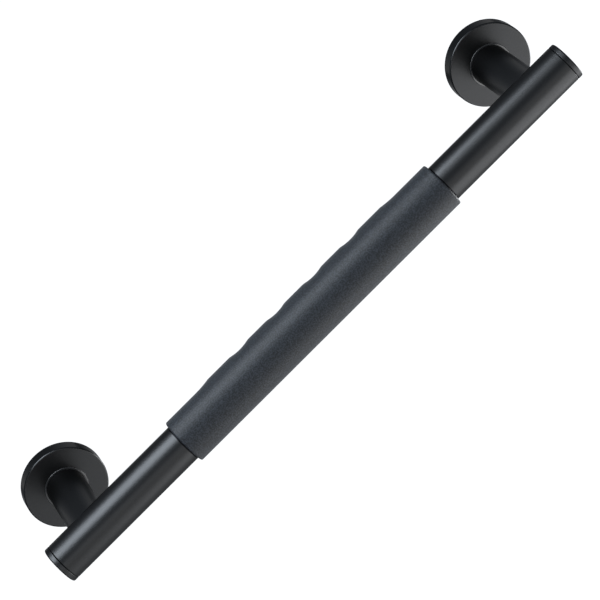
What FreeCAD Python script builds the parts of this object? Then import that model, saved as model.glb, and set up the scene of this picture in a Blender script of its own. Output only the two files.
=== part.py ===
import FreeCAD, Part
import Sketcher
import math
import os

# The frame: X runs along the bar, +Z is up, and the wall is the plane Y = 0, with the bar in front of it at -Y.
# The origin lies on the wall, midway between the two posts.

# Driving dimensions in millimetres: alias, value, meaning
sizes = [
    ("bar_diameter", 31.75, "outside of the tube"),
    ("bar_wall", 1.5, "wall of the tube"),
    ("bar_standoff", 90, "wall to the axis of the tube"),
    ("post_centres", 457.2, "distance between the two posts"),
    ("bar_overhang", 36.4, "axis of a post to the end face of the cap beyond it"),
    ("post_diameter", 31, "outside of a post"),
    ("post_wall", 2, "wall of a post"),
    ("plate_thickness", 3.5, "screw plate"),
    ("screw_circle", 46, "diameter of the circle of screw holes"),
    ("screw_count", 3, "screw holes in a plate"),
    ("screw_hole", 6.5, "diameter of a screw hole"),
    ("cover_diameter", 67, "outside of a flange cover"),
    ("cover_depth", 11, "wall to the front face of the cover"),
    ("cover_wall", 1.2, "sheet of the cover"),
    ("cover_edge", 1.1, "chamfer round the cover's face"),
    ("cover_play", 0.15, "gap between the screw plate and the cover"),
    ("grommet_wall", 0.9, "neck of the grommet round the post"),
    ("grommet_lip", 0.8, "how far its lip stands out past the neck"),
    ("grommet_lip_height", 0.8, "thickness of the lip"),
    ("grommet_depth", 2.8, "how far the neck reaches back from the lip"),
    ("cap_head", 4.4, "visible part of an end cap"),
    ("cap_plug", 12, "part of the cap inside the tube"),
    ("cap_edge", 1, "chamfer round the cap's end face"),
    ("seam_chamfer", 0.4, "edge of the tube at the seam between tube and cap"),
    ("grip_length", 270, "grip sleeve"),
    ("grip_wall", 3.3, "thickness of the sleeve"),
    ("grip_edge", 1, "chamfer round each end of the sleeve"),
    ("grip_back", 0.3, "extra thickness along the finger side"),
    ("swell_height", 2.35, "lands over the plain ends of the finger side"),
    ("swell_length", 208, "stretch that has lands and grooves"),
    ("swell_ramp", 15, "run-out at each end of that stretch"),
    ("groove_count", 4, "finger grooves"),
    ("groove_pitch", 38.4, "groove to groove"),
    ("groove_width", 24, "one groove, shoulders included"),
    ("shoulder_round", 6, "radius where a land meets a groove"),
    ("fit_clearance", 0.05, "gap of a push fit, on the radius"),
    ("trim_allowance", 2, "how far a cutting shape reaches past what it cuts"),
]

doc = FreeCAD.newDocument("GrabBar")
sheet = doc.addObject("Spreadsheet::Sheet", "Sizes")
for row, (alias, value, meaning) in enumerate(sizes, start=1):
    sheet.set(f"A{row}", meaning)
    sheet.set(f"B{row}", str(value))
    sheet.setAlias(f"B{row}", alias)
doc.recompute()

# Lengths that several pieces share, as expressions of the sheet
bar_length = "(Sizes.post_centres + 2 * Sizes.bar_overhang)"
bar_radius = "Sizes.bar_diameter / 2"
tube_bore = f"({bar_radius} - Sizes.bar_wall)"
post_radius = "Sizes.post_diameter / 2"
cover_radius = "Sizes.cover_diameter / 2"
cover_bore = f"({cover_radius} - Sizes.cover_wall)"
grommet_bore = f"({post_radius} + Sizes.fit_clearance)"
grommet_neck = f"({grommet_bore} + Sizes.grommet_wall)"
cover_hole = f"({grommet_neck} + Sizes.fit_clearance)"
sleeve_bore = f"({bar_radius} + Sizes.fit_clearance)"
sleeve_radius = f"({bar_radius} + Sizes.grip_wall)"
land_level = "(Sizes.grip_back + Sizes.swell_height)"

pieces = []


# One sub-part: an empty body with its label
def new_body(label):
    body = doc.addObject("PartDesign::Body", label)
    body.Label = label
    pieces.append(body)
    return body


# A plane or axis of a body's own origin
def datum(body, role):
    return next(feature for feature in body.Origin.OriginFeatures if feature.Role == role)


# A sketch on one of the body's origin planes, moved along the plane's normal if an offset is given
def sketch_on(body, name, role, offset=None):
    sketch = body.newObject("Sketcher::SketchObject", name)
    sketch.AttachmentSupport = [(datum(body, role), "")]
    sketch.MapMode = "FlatFace"
    if offset:
        sketch.setExpression("AttachmentOffset.Base.z", offset)
    return sketch


# The present value of an expression of the sheet
def value_of(expression):
    return float(sheet.evalExpression(expression))


# A dimension in a sketch that follows an expression of the sheet
def dimension(sketch, kind, *references, follows):
    index = sketch.addConstraint(Sketcher.Constraint(kind, *references, value_of(follows)))
    sketch.setExpression(f"Constraints[{index}]", follows)


# A circle on the sketch's origin, or on its horizontal axis at a distance from the origin
def circle(sketch, radius, along=None):
    centre = FreeCAD.Vector(value_of(along) if along else 0, 0, 0)
    shape = Part.Circle(centre, FreeCAD.Vector(0, 0, 1), value_of(radius))
    index = sketch.addGeometry(shape, False)
    if along:
        sketch.addConstraint(Sketcher.Constraint("PointOnObject", index, 3, -1))
        dimension(sketch, "DistanceX", -1, 1, index, 3, follows=along)
    else:
        sketch.addConstraint(Sketcher.Constraint("Coincident", index, 3, -1, 1))
    dimension(sketch, "Radius", index, follows=radius)


# A closed outline of level and upright edges: each corner is a pair of expressions, and "0" lies on an axis
def stepped_outline(sketch, corners):
    points = [FreeCAD.Vector(value_of(along), value_of(up), 0) for along, up in corners]
    count = len(corners)
    lines = [Part.LineSegment(points[i], points[(i + 1) % count]) for i in range(count)]
    sketch.addGeometry(lines, False)
    for i in range(count):
        sketch.addConstraint(Sketcher.Constraint("Coincident", i, 2, (i + 1) % count, 1))
    for i in range(count):
        level = corners[i][1] == corners[(i + 1) % count][1]
        place = corners[i][1] if level else corners[i][0]
        sketch.addConstraint(Sketcher.Constraint("Horizontal" if level else "Vertical", i))
        if place == "0":
            sketch.addConstraint(Sketcher.Constraint("PointOnObject", i, 1, -1 if level else -2))
        else:
            dimension(sketch, "DistanceY" if level else "DistanceX", -1, 1, i, 1, follows=place)


# A pad of the sketch, to one side of its plane or to both
def pad(body, name, sketch, length, both_ways=False):
    feature = body.newObject("PartDesign::Pad", name)
    feature.Profile = sketch
    feature.Midplane = both_ways
    feature.setExpression("Length", length)
    doc.recompute()
    return feature


# A pocket of the sketch, through everything on both sides unless a depth is given
def pocket(body, name, sketch, depth=None):
    feature = body.newObject("PartDesign::Pocket", name)
    feature.Profile = sketch
    if depth:
        feature.Reversed = True
        feature.setExpression("Length", depth)
    else:
        feature.Type = "ThroughAll"
        feature.Midplane = True
    doc.recompute()
    return feature


# A solid turned from the sketch about one of the sketch's two axes
def turned(body, name, sketch, axis):
    feature = body.newObject("PartDesign::Revolution", name)
    feature.Profile = sketch
    feature.ReferenceAxis = (sketch, [axis])
    feature.Angle = 360
    doc.recompute()
    return feature


# The names of the circular edges of that radius whose centre lies at that place along the axis
def ring_edges(feature, axis, place, radius):
    names = []
    for number, edge in enumerate(feature.Shape.Edges, start=1):
        if edge.Curve.TypeId != "Part::GeomCircle":
            continue
        near = abs(getattr(edge.Curve.Center, axis) - value_of(place)) < edge.Tolerance + 1e-4
        if near and abs(edge.Curve.Radius - value_of(radius)) < edge.Tolerance + 1e-4:
            names.append(f"Edge{number}")
    return names


# A chamfer on named edges of the last feature
def chamfer(body, name, base, edges, size):
    feature = body.newObject("PartDesign::Chamfer", name)
    feature.Base = (base, edges)
    feature.setExpression("Size", size)
    doc.recompute()
    return feature


# The bar: a straight round tube that ends where the cap heads begin
def make_bar_tube():
    body = new_body("bar_tube")
    section = sketch_on(body, "bar_section", "YZ_Plane")
    circle(section, bar_radius)
    circle(section, tube_bore)
    tube_length = f"({bar_length} - 2 * Sizes.cap_head)"
    tube = pad(body, "bar_pad", section, tube_length, both_ways=True)
    ends = ring_edges(tube, "x", f"{tube_length} / 2", bar_radius)
    ends += ring_edges(tube, "x", f"-{tube_length} / 2", bar_radius)
    chamfer(body, "bar_seam_edges", tube, ends, "Sizes.seam_chamfer")
    body.setExpression("Placement.Base.y", "-Sizes.bar_standoff")


# An end cap: a flat head as wide as the tube and a plug, turned about the bar's axis
def make_end_cap(side, turn):
    body = new_body(f"end_cap_{side}")
    plug_radius = f"({tube_bore} - Sizes.fit_clearance)"
    profile = sketch_on(body, f"cap_profile_{side}", "XY_Plane")
    stepped_outline(profile, [
        ("Sizes.cap_head", "0"),
        ("Sizes.cap_head", bar_radius),
        ("0", bar_radius),
        ("0", plug_radius),
        ("-Sizes.cap_plug", plug_radius),
        ("-Sizes.cap_plug", "0"),
    ])
    cap = turned(body, f"cap_turned_{side}", profile, "H_Axis")
    rim = ring_edges(cap, "x", "Sizes.cap_head", bar_radius)
    chamfer(body, f"cap_rim_{side}", cap, rim, "Sizes.cap_edge")
    body.Placement.Rotation = FreeCAD.Rotation(FreeCAD.Vector(0, 0, 1), turn)
    direction = "-" if turn else ""
    body.setExpression("Placement.Base.x", f"{direction}({bar_length} / 2 - Sizes.cap_head)")
    body.setExpression("Placement.Base.y", "-Sizes.bar_standoff")


# A post: a tube from the face of its plate to the bar, its front end coped to the bar's round
def make_post(side, place):
    body = new_body(f"post_{side}")
    section = sketch_on(body, f"post_section_{side}", "XZ_Plane", offset="Sizes.plate_thickness")
    circle(section, post_radius)
    circle(section, f"({post_radius} - Sizes.post_wall)")
    pad(body, f"post_pad_{side}", section, "Sizes.bar_standoff - Sizes.plate_thickness")
    saddle = sketch_on(body, f"post_saddle_{side}", "YZ_Plane")
    circle(saddle, bar_radius, along="-Sizes.bar_standoff")
    pocket(body, f"post_cope_{side}", saddle)
    body.setExpression("Placement.Base.x", place)


# A screw plate: a disc whose face carries the foot of the post, with one screw hole towards the middle of the bar and
# the others spaced round the circle
def make_mounting_plate(side, place, turn):
    body = new_body(f"mounting_plate_{side}")
    outline = sketch_on(body, f"plate_outline_{side}", "XZ_Plane")
    plate_radius = f"({cover_bore} - Sizes.cover_play)"
    circle(outline, plate_radius)
    pad(body, f"plate_pad_{side}", outline, "Sizes.plate_thickness")
    centre = sketch_on(body, f"plate_hole_centre_{side}", "XZ_Plane", offset="Sizes.plate_thickness")
    circle(centre, "Sizes.screw_hole / 2", along="-Sizes.screw_circle / 2")
    doc.recompute()
    hole = body.newObject("PartDesign::Hole", f"plate_hole_{side}")
    hole.Profile = centre
    hole.DepthType = "ThroughAll"
    hole.setExpression("Diameter", "Sizes.screw_hole")
    doc.recompute()
    pattern = body.newObject("PartDesign::PolarPattern", f"plate_holes_{side}")
    pattern.Originals = [hole]
    pattern.Axis = (datum(body, "Y_Axis"), [""])
    pattern.Angle = 360
    pattern.setExpression("Occurrences", "Sizes.screw_count")
    body.Tip = pattern
    doc.recompute()
    body.Placement.Rotation = FreeCAD.Rotation(FreeCAD.Vector(0, 1, 0), turn)
    body.setExpression("Placement.Base.x", place)


# A flange cover: a shallow dish that hides the plate, with a hole for the post and its grommet
def make_flange_cover(side, place):
    body = new_body(f"flange_cover_{side}")
    outline = sketch_on(body, f"cover_outline_{side}", "XZ_Plane")
    circle(outline, cover_radius)
    dish = pad(body, f"cover_pad_{side}", outline, "Sizes.cover_depth")
    rim = ring_edges(dish, "y", "-Sizes.cover_depth", cover_radius)
    chamfer(body, f"cover_rim_{side}", dish, rim, "Sizes.cover_edge")
    hollow = sketch_on(body, f"cover_hollow_{side}", "XZ_Plane")
    circle(hollow, cover_bore)
    pocket(body, f"cover_pocket_{side}", hollow, depth="Sizes.cover_depth - Sizes.cover_wall")
    opening = sketch_on(body, f"cover_opening_{side}", "XZ_Plane")
    circle(opening, cover_hole)
    pocket(body, f"cover_hole_{side}", opening)
    body.setExpression("Placement.Base.x", place)


# A grommet: a turned ring that fills the gap between the post and the cover's hole, with a lip over the hole's edge
def make_cover_grommet(side, place):
    body = new_body(f"cover_grommet_{side}")
    face = "-Sizes.cover_depth"
    front = f"({face} - Sizes.grommet_lip_height)"
    back = f"({face} + Sizes.grommet_depth)"
    lip_radius = f"({grommet_neck} + Sizes.grommet_lip)"
    profile = sketch_on(body, f"grommet_profile_{side}", "XY_Plane")
    stepped_outline(profile, [
        (grommet_bore, front),
        (lip_radius, front),
        (lip_radius, face),
        (grommet_neck, face),
        (grommet_neck, back),
        (grommet_bore, back),
    ])
    turned(body, f"grommet_turned_{side}", profile, "V_Axis")
    body.setExpression("Placement.Base.x", place)


# The path that the finger side of the sleeve follows: level lands, and grooves whose hollow is an arc that runs
# into each land over a round shoulder. Its height is the distance that the finger side stands behind the bar's axis.
def draw_finger_path(path):
    hollow_centre_up = "(({0})^2 + Sizes.swell_height^2) / (2 * Sizes.swell_height)"
    shoulder = "Sizes.shoulder_round"
    foot_level = "Sizes.grip_back"
    elements = []
    rules = []

    def reach(expression):
        return f"({hollow_centre_up.format(expression)} - {shoulder})"

    def sweep(half_width):
        return math.asin(value_of(half_width) / (value_of(reach(half_width)) + value_of(shoulder)))

    def add_line(start, end, level):
        rules.append(("line", level))
        elements.append(Part.LineSegment(FreeCAD.Vector(start, value_of(level), 0),
                                         FreeCAD.Vector(end, value_of(level), 0)))

    def add_arc(along, level, radius, first, last, rule):
        rules.append(rule)
        ring = Part.Circle(FreeCAD.Vector(along, level, 0), FreeCAD.Vector(0, 0, 1), value_of(radius))
        elements.append(Part.ArcOfCircle(ring, first, last))

    def add_shoulder(along, first, last):
        level = value_of(land_level) - value_of(shoulder)
        add_arc(along, level, shoulder, math.pi / 2 + first, math.pi / 2 + last, ("shoulder",))

    def add_hollow(along, half_width, first, last):
        radius = reach(half_width)
        level = value_of(foot_level) + value_of(radius)
        kind = "groove" if first < 0 < last else "ramp"
        add_arc(value_of(along), level, radius, first - math.pi / 2, last - math.pi / 2, (kind, along, radius))

    half_groove = "Sizes.groove_width / 2"
    ramp = "Sizes.swell_ramp"
    foot = "Sizes.swell_length / 2"
    sleeve_end = value_of("Sizes.grip_length / 2")
    ramp_sweep = sweep(ramp)
    groove_sweep = sweep(half_groove)
    land_start = -value_of(foot) + value_of(ramp)

    add_line(-sleeve_end, -value_of(foot), foot_level)
    add_hollow(f"-{foot}", ramp, 0, ramp_sweep)
    add_shoulder(land_start, 0, ramp_sweep)
    for number in range(round(value_of("Sizes.groove_count"))):
        along = f"({number} - (Sizes.groove_count - 1) / 2) * Sizes.groove_pitch"
        middle = value_of(along)
        land_end = middle - value_of(half_groove)
        add_line(land_start, land_end, land_level)
        land_start = middle + value_of(half_groove)
        add_shoulder(land_end, -groove_sweep, 0)
        add_hollow(along, half_groove, -groove_sweep, groove_sweep)
        add_shoulder(land_start, 0, groove_sweep)
    add_line(land_start, value_of(foot) - value_of(ramp), land_level)
    add_shoulder(value_of(foot) - value_of(ramp), -ramp_sweep, 0)
    add_hollow(foot, ramp, -ramp_sweep, 0)
    add_line(value_of(foot), sleeve_end, foot_level)

    path.addGeometry(elements, False)
    last = len(elements) - 1
    for index in range(last):
        tail = 2 if end_is_last(elements[index]) else 1
        head = 1 if end_is_last(elements[index + 1]) else 2
        path.addConstraint(Sketcher.Constraint("Tangent", index, tail, index + 1, head))
    for index, rule in enumerate(rules):
        if rule[0] == "line":
            path.addConstraint(Sketcher.Constraint("Horizontal", index))
            dimension(path, "DistanceY", -1, 1, index, 1, follows=rule[1])
        elif rule[0] == "shoulder":
            dimension(path, "Radius", index, follows=shoulder)
        else:
            dimension(path, "DistanceX", -1, 1, index, 3, follows=rule[1])
            dimension(path, "Radius", index, follows=rule[2])
        if rule[0] == "groove":
            dimension(path, "DistanceY", -1, 1, index, 3, follows=f"{foot_level} + {rule[2]}")
    dimension(path, "DistanceX", 0, 1, -1, 1, follows="Sizes.grip_length / 2")
    dimension(path, "DistanceX", -1, 1, last, 2, follows="Sizes.grip_length / 2")


# Whether a path element, drawn from left to right, ends at its second point. An arc turns anticlockwise, so one
# that bulges upwards runs from right to left.
def end_is_last(element):
    return element.EndPoint.x > element.StartPoint.x


# The grip sleeve. Its front half is round about the bar. Its back half has the same round, carried along the
# finger path without turning, so that lands and grooves wrap evenly round the fingers' side.
def make_grip_sleeve():
    body = new_body("grip_sleeve")
    path = sketch_on(body, "finger_path", "XY_Plane")
    draw_finger_path(path)
    section = sketch_on(body, "finger_section", "YZ_Plane", offset="-Sizes.grip_length / 2")
    draw_finger_section(section)
    doc.recompute()
    finger_side = body.newObject("PartDesign::AdditivePipe", "finger_side")
    finger_side.Profile = section
    finger_side.Spine = (path, [""])
    finger_side.Mode = "Fixed"
    finger_side.Transition = "Transformed"
    doc.recompute()

    trim = sketch_on(body, "trim_outline", "XZ_Plane")
    half_length = "(Sizes.grip_length / 2 + Sizes.trim_allowance)"
    half_height = f"({sleeve_radius} + Sizes.trim_allowance)"
    stepped_outline(trim, [
        (f"-{half_length}", f"-{half_height}"),
        (half_length, f"-{half_height}"),
        (half_length, half_height),
        (f"-{half_length}", half_height),
    ])
    front_trim = body.newObject("PartDesign::Pocket", "front_trim")
    front_trim.Profile = trim
    front_trim.Type = "ThroughAll"
    front_trim.Reversed = True
    doc.recompute()

    half_round = sketch_on(body, "front_half_round", "YZ_Plane")
    draw_front_half(half_round)
    pad(body, "front_half", half_round, "Sizes.grip_length", both_ways=True)
    bore = sketch_on(body, "sleeve_bore", "YZ_Plane")
    circle(bore, sleeve_bore)
    whole = pocket(body, "sleeve_hole", bore)
    chamfer(body, "sleeve_ends", whole, outer_end_edges(whole), "Sizes.grip_edge")
    body.setExpression("Placement.Base.y", "-Sizes.bar_standoff")


# The section of the finger side: a half round with straight cheeks that reach in front of the axis all along
def draw_finger_section(sketch):
    radius = value_of(sleeve_radius)
    centre = value_of("Sizes.grip_back")
    cheeks_front = f"-({land_level} + Sizes.trim_allowance)"
    front = value_of(cheeks_front)
    ring = Part.Circle(FreeCAD.Vector(centre, 0, 0), FreeCAD.Vector(0, 0, 1), radius)
    corners = [FreeCAD.Vector(centre, radius, 0), FreeCAD.Vector(front, radius, 0),
               FreeCAD.Vector(front, -radius, 0), FreeCAD.Vector(centre, -radius, 0)]
    sketch.addGeometry([Part.ArcOfCircle(ring, -math.pi / 2, math.pi / 2)], False)
    sketch.addGeometry([Part.LineSegment(corners[i], corners[i + 1]) for i in range(3)], False)
    sketch.addConstraint([
        Sketcher.Constraint("Tangent", 0, 2, 1, 1),
        Sketcher.Constraint("Coincident", 1, 2, 2, 1),
        Sketcher.Constraint("Coincident", 2, 2, 3, 1),
        Sketcher.Constraint("Tangent", 3, 2, 0, 1),
        Sketcher.Constraint("Horizontal", 1),
        Sketcher.Constraint("Vertical", 2),
        Sketcher.Constraint("PointOnObject", 0, 3, -1),
    ])
    dimension(sketch, "Radius", 0, follows=sleeve_radius)
    dimension(sketch, "DistanceX", -1, 1, 0, 3, follows="Sizes.grip_back")
    dimension(sketch, "DistanceX", -1, 1, 2, 1, follows=cheeks_front)


# The section of the front half: a half round closed through the axis
def draw_front_half(sketch):
    radius = value_of(sleeve_radius)
    ring = Part.Circle(FreeCAD.Vector(0, 0, 0), FreeCAD.Vector(0, 0, 1), radius)
    sketch.addGeometry([
        Part.ArcOfCircle(ring, math.pi / 2, 3 * math.pi / 2),
        Part.LineSegment(FreeCAD.Vector(0, -radius, 0), FreeCAD.Vector(0, radius, 0)),
    ], False)
    sketch.addConstraint([
        Sketcher.Constraint("Coincident", 0, 3, -1, 1),
        Sketcher.Constraint("Coincident", 0, 2, 1, 1),
        Sketcher.Constraint("Coincident", 1, 2, 0, 1),
        Sketcher.Constraint("PointOnObject", 0, 1, -2),
        Sketcher.Constraint("PointOnObject", 0, 2, -2),
    ])
    dimension(sketch, "Radius", 0, follows=sleeve_radius)


# The edges round the outside of the sleeve's two end faces
def outer_end_edges(feature):
    end = value_of("Sizes.grip_length / 2")
    bore_radius = value_of(sleeve_bore)
    names = []
    for number, edge in enumerate(feature.Shape.Edges, start=1):
        box = edge.BoundBox
        at_end = box.XLength < 1e-4 and abs(abs(box.Center.x) - end) < 1e-3
        is_bore = edge.Curve.TypeId == "Part::GeomCircle" and abs(edge.Curve.Radius - bore_radius) < 1e-3
        if at_end and not is_bore:
            names.append(f"Edge{number}")
    return names


right_place = "Sizes.post_centres / 2"
left_place = "-Sizes.post_centres / 2"

make_bar_tube()
make_grip_sleeve()
for side, place, turn in (("left", left_place, 180), ("right", right_place, 0)):
    make_end_cap(side, turn)
    make_post(side, place)
    make_mounting_plate(side, place, turn)
    make_flange_cover(side, place)
    make_cover_grommet(side, place)
doc.recompute()

# Nothing is written unless every object is sound
for item in doc.Objects:
    if "Invalid" in item.State or "Error" in item.State:
        raise RuntimeError(f"{item.Label} failed: {item.State}")
for body in pieces:
    if body.Shape.isNull() or not body.Shape.isValid() or len(body.Shape.Solids) != 1:
        raise RuntimeError(f"{body.Label} is not one sound solid")

# One file for each piece, except that the small pieces that are alike on both sides share one for the pair
paired = ("end_cap", "mounting_plate", "cover_grommet")
groups = {}
for body in pieces:
    kind = body.Label.removesuffix("_left").removesuffix("_right")
    groups.setdefault(f"{kind}s" if kind in paired else body.Label, []).append(body.Shape)
    print(f"{body.Label}: volume {body.Shape.Volume:.1f} mm3")

os.makedirs("parts", exist_ok=True)
for name, shapes in groups.items():
    Part.makeCompound(shapes).exportStep(f"parts/{name}.step")
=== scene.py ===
import math

import bmesh
import bpy
from mathutils import Matrix, Vector


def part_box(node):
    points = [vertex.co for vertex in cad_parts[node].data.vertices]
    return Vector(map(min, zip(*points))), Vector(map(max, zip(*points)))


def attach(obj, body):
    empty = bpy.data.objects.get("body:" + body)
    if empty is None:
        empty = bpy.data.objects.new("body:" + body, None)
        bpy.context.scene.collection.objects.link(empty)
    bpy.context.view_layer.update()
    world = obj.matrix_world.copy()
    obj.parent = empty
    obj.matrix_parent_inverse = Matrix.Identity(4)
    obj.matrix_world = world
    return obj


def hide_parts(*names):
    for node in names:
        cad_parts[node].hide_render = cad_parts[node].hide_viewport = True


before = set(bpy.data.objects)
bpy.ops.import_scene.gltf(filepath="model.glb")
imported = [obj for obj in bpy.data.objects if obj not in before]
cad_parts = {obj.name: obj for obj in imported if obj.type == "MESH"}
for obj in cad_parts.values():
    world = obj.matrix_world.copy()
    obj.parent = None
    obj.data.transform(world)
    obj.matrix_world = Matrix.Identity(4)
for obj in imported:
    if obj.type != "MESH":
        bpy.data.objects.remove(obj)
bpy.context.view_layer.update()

mm = 0.001
sides = {"left": -1, "right": 1}
alongX = Matrix(((0, 0, 1), (1, 0, 0), (0, 1, 0)))  # turns a lathe's own axis to X
alongY = Matrix(((0, 1, 0), (0, 0, 1), (1, 0, 0)))  # and to Y

# Sizes that several pieces share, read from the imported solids
tubeLow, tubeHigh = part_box("bar_tube")
postLow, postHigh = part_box("post_right")
barRadius = (tubeHigh.z - tubeLow.z) / 2
barAxis = Vector((0, (tubeLow.y + tubeHigh.y) / 2, 0))
postRadius = (postHigh.x - postLow.x) / 2
postPlace = (postHigh.x + postLow.x) / 2
print("frame loaded:", ", ".join(sorted(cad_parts)))


# Node trees

class Wire:  # a node's output that takes part in Python sums: each sum adds its Math node
    def __init__(self, finish, socket):
        self.finish = finish
        self.socket = socket

    def sum(self, operation, *terms):
        return self.finish.node("Math", {"operation": operation}, dict(enumerate(terms)))

    def __abs__(self):
        return self.sum("ABSOLUTE", self)

    def __add__(self, other):
        return self.sum("ADD", self, other)

    def __radd__(self, other):
        return self.sum("ADD", other, self)

    def __sub__(self, other):
        return self.sum("SUBTRACT", self, other)

    def __rsub__(self, other):
        return self.sum("SUBTRACT", other, self)

    def __mul__(self, other):
        return self.sum("MULTIPLY", self, other)

    def __rmul__(self, other):
        return self.sum("MULTIPLY", other, self)

    def __pow__(self, other):
        return self.sum("POWER", self, other)

    def __rpow__(self, other):
        return self.sum("POWER", other, self)


class Finish:  # a node tree of a material or of the world
    def __init__(self, owner):
        owner.use_nodes = True
        self.tree = owner.node_tree
        self.tree.nodes.clear()

    def node(self, kind, settings, sockets, output=0):
        made = self.tree.nodes.new("ShaderNode" + kind)
        for setting, value in settings.items():
            if setting == "stops":
                for stop, (place, shade) in zip(made.color_ramp.elements, value):
                    stop.position = place
                    stop.color = (shade, shade, shade, 1)
            else:
                setattr(made, setting, value)
        for socket, value in sockets.items():
            if isinstance(value, Wire):
                self.tree.links.new(value.socket, made.inputs[socket])
            else:
                made.inputs[socket].default_value = value
        return Wire(self, made.outputs[output] if made.outputs else None)

    def place(self):  # the point of the surface, in metres
        return self.node("TexCoord", {}, {}, "Object")

    def axis(self, name, vector=None):  # one coordinate of the place, or of another vector
        return self.node("SeparateXYZ", {}, {"Vector": vector or self.place()}, name)

    def noise(self, size, detail, place=None):
        sockets = {"Vector": place or self.place(), "Scale": 1 / size, "Detail": detail}
        return self.node("TexNoise", {}, sockets, "Fac")

    def ramp(self, value, first, last):  # both stops lie between 0 and 1
        return self.node("ValToRGB", {"stops": (first, last)}, {"Fac": value})

    def slope(self, value, first, last):  # a ramp between any two values
        (start, startShade), (end, endShade) = first, last
        return self.ramp((value - start) * (1 / (end - start)), (0, startShade), (1, endShade))

    def mixed(self, factor, first, second):  # two colours, each written out or from a node
        first, second = (colour if isinstance(colour, Wire) else (*colour, 1) for colour in (first, second))
        return self.node("Mix", {"data_type": "RGBA"}, {"Factor": factor, 6: first, 7: second}, 2)

    def bump(self, height, depth):
        return self.node("Bump", {}, {"Height": height, "Distance": depth, "Strength": 1})

    # White to the camera, as white as lit in gloss and glass, and bounce of that as light on matt things
    def whiteness(self, lit, bounce):
        camera, glossy, through = (self.node("LightPath", {}, {}, f"Is {kind} Ray")
                                   for kind in ("Camera", "Glossy", "Transmission"))
        mirrored = glossy + through
        return camera + lit * (mirrored + (1 - camera - mirrored) * bounce)

    def surface(self, shader):
        self.node("OutputMaterial", {}, {"Surface": shader})


def newMaterial(name):
    material = bpy.data.materials.new(name)
    return material, Finish(material)


# Satin black steel: a fine orange peel, pale specks and a little change of gloss over some
# centimetres. The posts mirror more at a low angle, the bar has a dark line of painted shade
# at the ends of the sleeve, and the rims of the covers are rubbed smoother.
satin = {
    "colour": (0.046, 0.0468, 0.048),
    "paler": (0.054, 0.055, 0.0565),
    "speck": (0.45 * mm, 1),  # each noise by its size and detail
    "speckStops": ((0.55, 0), (0.75, 1)),
    "peel": (0.7 * mm, 3),
    "peelDepth": 0.011 * mm,
    "roughness": 0.36,
    "roughnessChange": 0.05,
    "patch": (31 * mm, 3),
    "edgeGloss": (0.5, 0.5, 0.5, 1),  # at a low angle
    "postEdgeGloss": (0.6, 0.6, 0.6, 1),
    # a dark line of painted shade on the bar beside each end of the sleeve
    "line": (0.006, 0.006, 0.007),
    "lineWidth": 0.8 * mm,
    "lineFade": 0.5 * mm,
    "rimRoughness": -0.15,
    "rimWidth": 1.3 * mm,
    "rimFade": 0.52 * mm,
}


def makeSatinBlack(name, edgeGloss=satin["edgeGloss"], lineAt=None, rimAt=None):
    material, finish = newMaterial(name)
    peel = finish.noise(*satin["peel"])
    specks = finish.ramp(finish.noise(*satin["speck"]), *satin["speckStops"])
    colour = finish.mixed(specks, satin["colour"], satin["paler"])
    roughness = satin["roughness"] + (finish.noise(*satin["patch"]) - 0.5) * satin["roughnessChange"]
    # the bar darkened beside each end of the sleeve: painted shade where the sleeve meets the tube
    if lineAt:
        lineEnd = lineAt + satin["lineWidth"]
        line = finish.slope(abs(finish.axis("X")), (lineEnd, 1), (lineEnd + satin["lineFade"], 0))
        colour = finish.mixed(line, colour, satin["line"])
    if rimAt:
        radius = ((abs(finish.axis("X")) - postPlace) ** 2 + finish.axis("Z") ** 2) ** 0.5
        rimStart = rimAt - satin["rimWidth"]
        rim = finish.slope(radius, (rimStart, 0), (rimStart + satin["rimFade"], 1))
        roughness = roughness + rim * satin["rimRoughness"]
    finish.surface(finish.node("BsdfPrincipled", {}, {
        "Base Color": colour,
        "Metallic": 1,
        "Roughness": roughness,
        "Specular Tint": edgeGloss,
        "Normal": finish.bump(peel, satin["peelDepth"]),
    }))
    return material


# Charcoal rubber of the sleeve: a moulded pebble grain with paler tops
rubber = {
    "colour": (0.0099, 0.0117, 0.0144),
    "paler": (0.0308, 0.0362, 0.0445),
    "roughness": 0.5,
    "roughnessChange": 0.16,
    "index": 1.4,
    "grain": (0.95 * mm, 2),
    "grainDepth": 0.09 * mm,
    "topStops": ((0.42, 0), (0.62, 1)),
    "fine": (0.35 * mm, 1),
    "fineDepth": 0.015 * mm,
}


def makeGripRubber():
    material, finish = newMaterial("gripRubber")
    grain = finish.noise(*rubber["grain"])
    fine = finish.noise(*rubber["fine"])
    tops = finish.ramp(grain, *rubber["topStops"])
    height = grain + fine * (rubber["fineDepth"] / rubber["grainDepth"])
    finish.surface(finish.node("BsdfPrincipled", {}, {
        "Base Color": finish.mixed(tops, rubber["colour"], rubber["paler"]),
        "Roughness": rubber["roughness"] + (fine - 0.5) * rubber["roughnessChange"],
        "IOR": rubber["index"],
        "Normal": finish.bump(height, rubber["grainDepth"]),
    }))
    return material


# Smooth black rubber of the grommets
smoothRubber = {
    "colour": (0.017, 0.017, 0.018),
    "paler": (0.025, 0.025, 0.026),
    "roughness": 0.2,
    "roughnessChange": 0.1,
    "index": 1.7,
    "mottle": (3 * mm, 3),
    "fine": (0.3 * mm, 1),
    "fineDepth": 0.006 * mm,
}


def makeSmoothRubber():
    material, finish = newMaterial("smoothRubber")
    mottle = finish.noise(*smoothRubber["mottle"])
    finish.surface(finish.node("BsdfPrincipled", {}, {
        "Base Color": finish.mixed(mottle, smoothRubber["colour"], smoothRubber["paler"]),
        "Roughness": smoothRubber["roughness"] + (mottle - 0.5) * smoothRubber["roughnessChange"],
        "IOR": smoothRubber["index"],
        "Normal": finish.bump(finish.noise(*smoothRubber["fine"]), smoothRubber["fineDepth"]),
    }))
    return material


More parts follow.
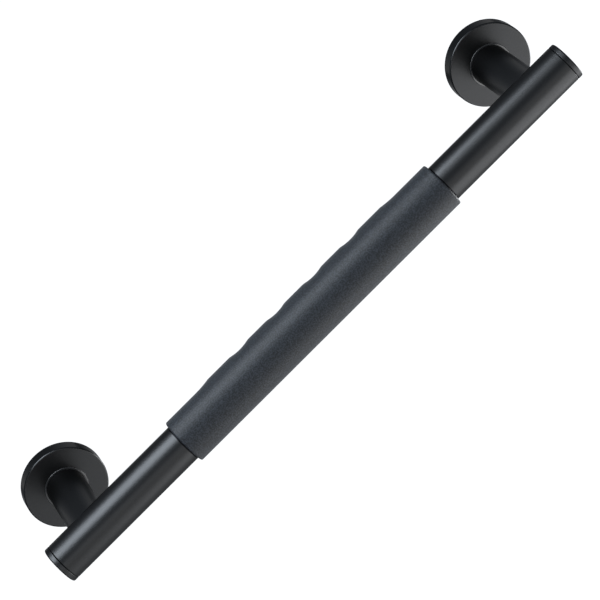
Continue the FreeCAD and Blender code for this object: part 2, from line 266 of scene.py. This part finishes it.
# Bare steel of the hidden plates: rolled sheet with a grain along X, over soft clouds
sheetSteel = {
    "colour": (0.4, 0.4, 0.39),
    "paler": (0.68, 0.68, 0.67),
    "roughness": 0.34,
    "roughnessChange": 0.2,
    "grain": (0.9 * mm, 4),
    "grainStretch": 45,
    "grainDepth": 0.012 * mm,
    "cloud": (11 * mm, 3),
    "grainShare": 0.65,  # the clouds have the rest
    "streakStops": ((0.36, 0), (0.64, 1)),
}


def makeSheetSteel():
    material, finish = newMaterial("sheetSteel")
    squeezed = (1 / sheetSteel["grainStretch"], 1, 1)
    stretched = finish.node("VectorMath", {"operation": "MULTIPLY"}, {0: finish.place(), 1: squeezed})
    grain = finish.noise(*sheetSteel["grain"], stretched)
    cloud = finish.noise(*sheetSteel["cloud"])
    share = sheetSteel["grainShare"]
    streaks = finish.ramp(grain * share + cloud * (1 - share), *sheetSteel["streakStops"])
    finish.surface(finish.node("BsdfPrincipled", {}, {
        "Base Color": finish.mixed(streaks, sheetSteel["colour"], sheetSteel["paler"]),
        "Metallic": 1,
        "Roughness": sheetSteel["roughness"] + (cloud - 0.5) * sheetSteel["roughnessChange"],
        "Normal": finish.bump(grain, sheetSteel["grainDepth"]),
    }))
    return material


satinBlack = makeSatinBlack("satinBlack")
barBlack = makeSatinBlack("barBlack", lineAt=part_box("grip_sleeve")[1].x)
postBlack = makeSatinBlack("postBlack", edgeGloss=satin["postEdgeGloss"])
coverBlack = makeSatinBlack("coverBlack", rimAt=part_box("flange_cover_left")[1].z)
gripRubber = makeGripRubber()
blackRubber = makeSmoothRubber()
plateSteel = makeSheetSteel()
print("materials made")


# Mesh tools
meshing = {
    "weld": 0.0005 * mm,  # points nearer than this become one
    "sharpFrom": 35,  # degrees between two faces whose edge stays sharp
}


def rounded(corners, steps):  # a closed outline of (along, out, radius) corners, each turned into an arc
    outline = []
    for number, (along, out, radius) in enumerate(corners):
        corner = Vector((along, out))
        if radius == 0:
            outline.append(corner)
            continue
        back = (Vector(corners[number - 1][:2]) - corner).normalized()
        ahead = (Vector(corners[(number + 1) % len(corners)][:2]) - corner).normalized()
        half = back.angle(ahead) / 2
        centre = corner + (back + ahead).normalized() * (radius / math.sin(half))
        first = corner + back * (radius / math.tan(half)) - centre
        last = corner + ahead * (radius / math.tan(half)) - centre
        sweep = math.pi - 2 * half
        for step in range(steps + 1):
            share = step / steps
            spoke = first * math.sin((1 - share) * sweep) + last * math.sin(share * sweep)
            outline.append(centre + spoke / math.sin(sweep))
    return outline


def lathe(outline, turn, centre, segments):  # the outline at each angle round an axis through the centre
    rings = []
    for number in range(segments):
        angle = 2 * math.pi * number / segments
        rings.append([centre + turn @ Vector((out * math.cos(angle), out * math.sin(angle), along))
                      for along, out in outline])
    return rings


def skin(name, rings, node, material):  # a closed mesh over rings that each hold as many points
    count = len(rings[0])
    points = [point for ring in rings for point in ring]
    shape = bmesh.new()
    corners = [shape.verts.new(point) for point in points]
    for ring in range(len(rings)):
        after = (ring + 1) % len(rings)
        for k in range(count):
            ahead = (k + 1) % count
            shape.faces.new((corners[ring * count + k], corners[ring * count + ahead],
                             corners[after * count + ahead], corners[after * count + k]))
    bmesh.ops.remove_doubles(shape, verts=shape.verts, dist=meshing["weld"])
    bmesh.ops.dissolve_degenerate(shape, edges=shape.edges, dist=meshing["weld"])
    loose = [edge for edge in shape.edges if not edge.link_faces]  # a cap's own axis
    bmesh.ops.delete(shape, geom=loose, context="EDGES")
    bmesh.ops.recalc_face_normals(shape, faces=shape.faces)
    for edge in shape.edges:
        edge.smooth = edge.calc_face_angle() < math.radians(meshing["sharpFrom"])
    mesh = bpy.data.meshes.new(name)
    shape.to_mesh(mesh)
    shape.free()
    mesh.shade_smooth()
    mesh.materials.append(material)
    piece = bpy.data.objects.new(name, mesh)
    bpy.context.scene.collection.objects.link(piece)
    normals = piece.modifiers.new("evenNormals", "WEIGHTED_NORMAL")
    normals.keep_sharp = True
    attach(piece, "root")
    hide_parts(node)
    return piece


# The bar: a tube whose ends are rolled slightly inwards at the seam with the caps
barTube = {
    "wall": 1.5 * mm,
    "seamRound": 0.75 * mm,
    "boreRound": 0.2 * mm,
    "arcSteps": 5,
    "segments": 192,
}


def makeBarTube():
    bore = barRadius - barTube["wall"]
    corners = [
        (tubeLow.x, barRadius, barTube["seamRound"]),
        (tubeHigh.x, barRadius, barTube["seamRound"]),
        (tubeHigh.x, bore, barTube["boreRound"]),
        (tubeLow.x, bore, barTube["boreRound"]),
    ]
    rings = lathe(rounded(corners, barTube["arcSteps"]), alongX, barAxis, barTube["segments"])
    skin("barTube", rings, "bar_tube", barBlack)


# The end caps: a flat head with a rounded rim, and a plug in the tube
endCap = {
    "rimRound": 1.1 * mm,
    "seamRound": 0.65 * mm,
    "plugRadius": 14.325 * mm,
    "plugDepth": 12 * mm,
    "plugRound": 0.8 * mm,
    "arcSteps": 6,
    "segments": 192,
}


def makeEndCap(side, direction):
    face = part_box("end_caps")[1].x * direction
    seat = tubeHigh.x * direction
    plugEnd = seat - endCap["plugDepth"] * direction
    corners = [
        (face, 0, 0),
        (face, barRadius, endCap["rimRound"]),
        (seat, barRadius, endCap["seamRound"]),
        (seat, endCap["plugRadius"], 0),
        (plugEnd, endCap["plugRadius"], endCap["plugRound"]),
        (plugEnd, 0, 0),
    ]
    rings = lathe(rounded(corners, endCap["arcSteps"]), alongX, barAxis, endCap["segments"])
    skin(f"endCap.{side}", rings, "end_caps", satinBlack)


# The grip sleeve: round in front, and behind it the same round carried along the finger path
gripSleeve = {
    "bore": 15.925 * mm,
    "footRise": 0.3 * mm,
    "swellLength": 208 * mm,  # the thick part, with the ramps at both its ends
    "swellRamp": 15 * mm,
    "grooveCount": 4,
    "groovePitch": 38.4 * mm,
    "grooveWidth": 21 * mm,
    "shoulderRound": 6 * mm,
    "endRound": 1.25 * mm,
    "stations": 360,  # along the level part, then along each end's rounding, then round a ring
    "endSteps": 6,
    "around": 128,
}


def makeGripSleeve():
    low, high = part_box("grip_sleeve")
    radius = (high.z - low.z) / 2
    swell = high.y - barAxis.y - radius - gripSleeve["footRise"]
    end = high.x

    def risen(distance, reach):  # a hollow arc that runs into a level land over a round shoulder
        total = (reach ** 2 + swell ** 2) / (2 * swell)
        shoulder = gripSleeve["shoulderRound"]
        meeting = reach * (total - shoulder) / total
        if distance >= reach:
            return swell
        if distance > meeting:
            return swell - shoulder + math.sqrt(shoulder ** 2 - (reach - distance) ** 2)
        hollow = total - shoulder
        return hollow - math.sqrt(hollow ** 2 - max(distance, 0) ** 2)

    def rise(x):  # how far the finger side stands behind the bar's axis
        height = risen(gripSleeve["swellLength"] / 2 - abs(x), gripSleeve["swellRamp"])
        for number in range(gripSleeve["grooveCount"]):
            middle = (number - (gripSleeve["grooveCount"] - 1) / 2) * gripSleeve["groovePitch"]
            height = min(height, risen(abs(x - middle), gripSleeve["grooveWidth"] / 2))
        return gripSleeve["footRise"] + height

    def ring(x, out, behind=0):  # round about the bar's axis, with its back half carried behind it
        points = []
        for number in range(gripSleeve["around"]):
            angle = 2 * math.pi * (number + 0.5) / gripSleeve["around"]
            y = out * math.cos(angle)
            if y > 0:
                y += behind
            points.append(barAxis + Vector((x, y, out * math.sin(angle))))
        return points

    bend = gripSleeve["endRound"]
    turns = [math.pi / 2 * (step + 1) / gripSleeve["endSteps"] for step in range(gripSleeve["endSteps"])]
    rounding = [(end - bend * (1 - math.sin(turn)), bend * (1 - math.cos(turn))) for turn in turns]
    stations = gripSleeve["stations"]
    level = [((end - bend) * (2 * number / stations - 1), 0) for number in range(stations + 1)]
    outer = [(-x, inset) for x, inset in reversed(rounding)] + level + rounding
    rings = [ring(x, radius - inset, rise(x)) for x, inset in outer]
    rings += [ring(end, gripSleeve["bore"]), ring(-end, gripSleeve["bore"])]
    skin("gripSleeve", rings, "grip_sleeve", gripRubber)


# The posts: tubes from their plates to the bar, the front end coped to the bar's round
post = {
    "wall": 2 * mm,
    "lengths": 12,  # faces from the plate to the saddle
    "segments": 160,
}


def makePost(side, direction):
    centre = Vector((postPlace * direction, 0, 0))
    bore = postRadius - post["wall"]
    rings = []
    for number in range(post["segments"]):
        angle = 2 * math.pi * number / post["segments"]

        def at(out, share):  # on the post's wall, at a share of the way from the plate to the saddle
            z = out * math.sin(angle)
            saddle = barAxis.y + math.sqrt(barRadius ** 2 - z ** 2)
            return centre + Vector((out * math.cos(angle), postHigh.y + share * (saddle - postHigh.y), z))

        shares = [k / post["lengths"] for k in range(post["lengths"] + 1)]
        outer = [at(postRadius, share) for share in shares]
        inner = [at(bore, share) for share in reversed(shares)]
        rings.append(outer + inner)
    skin(f"post.{side}", rings, f"post_{side}", postBlack)


# The flange covers: a shallow dish with a rounded rim and a turned hole
cover = {
    "sheet": 1.2 * mm,
    "rimRound": 1.1 * mm,
    "innerRound": 0.7 * mm,
    "edgeRound": 0.3 * mm,
    "holeRadius": 16.5 * mm,
    "arcSteps": 7,
    "segments": 256,
}


def makeFlangeCover(side, direction):
    low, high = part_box(f"flange_cover_{side}")
    radius = (high.z - low.z) / 2
    inside = radius - cover["sheet"]
    back = low.y + cover["sheet"]
    corners = [
        (high.y, radius, cover["edgeRound"]),
        (low.y, radius, cover["rimRound"]),
        (low.y, cover["holeRadius"], cover["edgeRound"]),
        (back, cover["holeRadius"], cover["edgeRound"]),
        (back, inside, cover["innerRound"]),
        (high.y, inside, cover["edgeRound"]),
    ]
    centre = Vector((postPlace * direction, 0, 0))
    rings = lathe(rounded(corners, cover["arcSteps"]), alongY, centre, cover["segments"])
    skin(f"flangeCover.{side}", rings, f"flange_cover_{side}", coverBlack)


# The grommets between each cover's hole and its post
grommet = {
    "bore": 15.55 * mm,
    "neck": 16.45 * mm,
    "lipHeight": 0.8 * mm,
    "lipRound": 0.35 * mm,
    "footRound": 0.32 * mm,
    "edgeRound": 0.2 * mm,
    "arcSteps": 5,
    "segments": 192,
}


def makeGrommet(side, direction):
    low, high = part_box("cover_grommets")
    lip = high.z
    seat = low.y + grommet["lipHeight"]
    corners = [
        (low.y, grommet["bore"], grommet["edgeRound"]),
        (low.y, lip, grommet["lipRound"]),
        (seat, lip, grommet["footRound"]),
        (seat, grommet["neck"], 0),
        (high.y, grommet["neck"], grommet["edgeRound"]),
        (high.y, grommet["bore"], grommet["edgeRound"]),
    ]
    centre = Vector((postPlace * direction, 0, 0))
    rings = lathe(rounded(corners, grommet["arcSteps"]), alongY, centre, grommet["segments"])
    skin(f"grommet.{side}", rings, "cover_grommets", blackRubber)


makeBarTube()
makeGripSleeve()
for side, direction in sides.items():
    makeEndCap(side, direction)
    makePost(side, direction)
    makeFlangeCover(side, direction)
    makeGrommet(side, direction)
print("pieces made")

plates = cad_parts["mounting_plates"]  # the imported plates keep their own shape
plates.data.materials.clear()
plates.data.materials.append(plateSteel)
print("plates finished")


# The floor, far below the bar: white to the camera, and in reflections as bright as the photograph shows
floor = {
    "level": -1.1,
    "reach": 10,
    "colour": (0.5, 0.5, 0.5, 1),
    "glow": 0.92,
    "mirrored": 0.75,  # its share of that in reflections
    "cornerFall": ((0.2, 1), (-0.9, 0.4)),  # what is left of that behind and to the left, by x - y
    "sideFall": ((0.9, 1), (2.2, 0.15)),  # and to both sides, by the distance from the middle
    "bounce": 0.63,  # and of all that as light on matt things
}


def makeFloor():
    material, finish = newMaterial("paleFloor")
    across = finish.axis("X")
    cornerFall = finish.slope(across - finish.axis("Y"), *floor["cornerFall"])
    sideFall = finish.slope(abs(across), *floor["sideFall"])
    white = finish.whiteness(cornerFall * sideFall * floor["mirrored"], floor["bounce"])
    glow = finish.node("Emission", {}, {"Color": (1, 1, 1, 1), "Strength": white * floor["glow"]})
    plain = finish.node("BsdfDiffuse", {}, {"Color": floor["colour"]})
    finish.surface(finish.node("AddShader", {}, {0: plain, 1: glow}))
    mesh = bpy.data.meshes.new("floor")
    reach = floor["reach"]
    corners = [(-reach, -reach), (reach, -reach), (reach, reach), (-reach, reach)]
    mesh.from_pydata([(x, y, floor["level"]) for x, y in corners], [], [(0, 1, 2, 3)])
    mesh.materials.append(material)
    ground = bpy.data.objects.new("floor", mesh)
    bpy.context.scene.collection.objects.link(ground)


# The room: a white sweep that fades above the horizon and at both sides into a dimmer, cooler ceiling
surround = {
    "sweep": 1.0,
    "ceiling": 0.2,
    "ceilingColour": (0.88, 1, 1.14),
    "topFall": ((0, 1), (0.45, 0)),  # by the sine of the angle above the horizon
    "sideFall": ((0.45, 1), (0.85, 0)),  # and of the angle to the left or right
    "bounce": 0.5,
}


def makeSurround():
    world = bpy.data.worlds.new("studio")
    bpy.context.scene.world = world
    finish = Finish(world)
    direction = finish.node("TexCoord", {}, {}, "Generated")
    topFall = finish.slope(finish.axis("Z", direction), *surround["topFall"])
    sideFall = finish.slope(abs(finish.axis("X", direction)), *surround["sideFall"])
    white = finish.whiteness(topFall * sideFall, surround["bounce"])
    strength = surround["ceiling"] + white * (surround["sweep"] - surround["ceiling"])
    colour = finish.mixed(white, surround["ceilingColour"], (1, 1, 1))
    background = finish.node("Background", {}, {"Color": colour, "Strength": strength})
    finish.node("OutputWorld", {}, {"Surface": background})


# The lamps: soft rectangles that face their aim
lamps = {
    "overhead": {"place": (-0.22, -0.2, 1.15), "aim": (-0.12, -0.12, 0), "size": (0.7, 1.06), "power": 16.3,
                 "colour": (0.925, 1, 1.08)},
    "overheadRight": {"place": (0.35, -0.52, 1.1), "aim": (0.23, -0.09, 0), "size": (0.5, 0.5), "power": 1.1,
                      "colour": (0.95, 1, 1.05)},
    "frontLeft": {"place": (-0.5, -1.5, 0.45), "aim": (-0.23, -0.09, 0), "size": (0.5, 0.5), "power": 0.7,
                  "colour": (1, 1, 1)},
    "lowEdge": {"place": (0.8, 0.1, -0.65), "aim": (0.26, -0.09, 0), "size": (0.45, 0.45), "power": 9,
                "colour": (1, 1, 1)},
    "lowFront": {"place": (0.4, -0.78, -0.8), "aim": (0.25, -0.09, 0), "size": (1.3, 0.9), "power": 6,
                 "colour": (1, 1, 1)},
    "lowRight": {"place": (0.55, -0.2, -0.8), "aim": (0.3, -0.09, 0), "size": (0.5, 0.6), "power": 2.8,
                 "colour": (1, 1, 1)},
}


def makeLamp(name, lamp):
    data = bpy.data.lights.new(name, "AREA")
    data.shape = "RECTANGLE"
    data.size, data.size_y = lamp["size"]
    data.energy = lamp["power"]
    data.color = lamp["colour"]
    holder = bpy.data.objects.new(name, data)
    holder.location = lamp["place"]
    holder.visible_camera = False
    holder.rotation_euler = (Vector(lamp["aim"]) - holder.location).to_track_quat("-Z", "Y").to_euler()
    bpy.context.scene.collection.objects.link(holder)


# The camera, as fitted to the outlines in the photograph: angles in degrees, the sensor in millimetres
view = {
    "azimuth": 0.853,
    "elevation": 28.774,
    "roll": 45.315,
    "distance": 2.1226,
    "target": (-0.0013, 0, -0.0338),
    "focalPixels": 2745.6,
    "framePixels": 600,
    "sensor": 36,
}


def makeCamera():
    azimuth, elevation, roll = (math.radians(view[angle]) for angle in ("azimuth", "elevation", "roll"))
    level = math.cos(elevation)
    back = Vector((math.sin(azimuth) * level, -math.cos(azimuth) * level, math.sin(elevation)))
    across = (-back).cross(Vector((0, 0, 1))).normalized()
    upright = across.cross(-back)
    right = math.cos(roll) * across - math.sin(roll) * upright
    up = math.sin(roll) * across + math.cos(roll) * upright
    data = bpy.data.cameras.new("camera")
    data.sensor_width = view["sensor"]
    data.lens = view["focalPixels"] / view["framePixels"] * view["sensor"]
    camera = bpy.data.objects.new("camera", data)
    turn = Matrix((right, up, back)).transposed().to_4x4()
    camera.matrix_world = Matrix.Translation(Vector(view["target"]) + back * view["distance"]) @ turn
    bpy.context.scene.collection.objects.link(camera)
    bpy.context.scene.camera = camera


makeFloor()
makeSurround()
for name, lamp in lamps.items():
    makeLamp(name, lamp)
makeCamera()
bpy.context.scene.view_settings.view_transform = "Standard"
print("stage set")
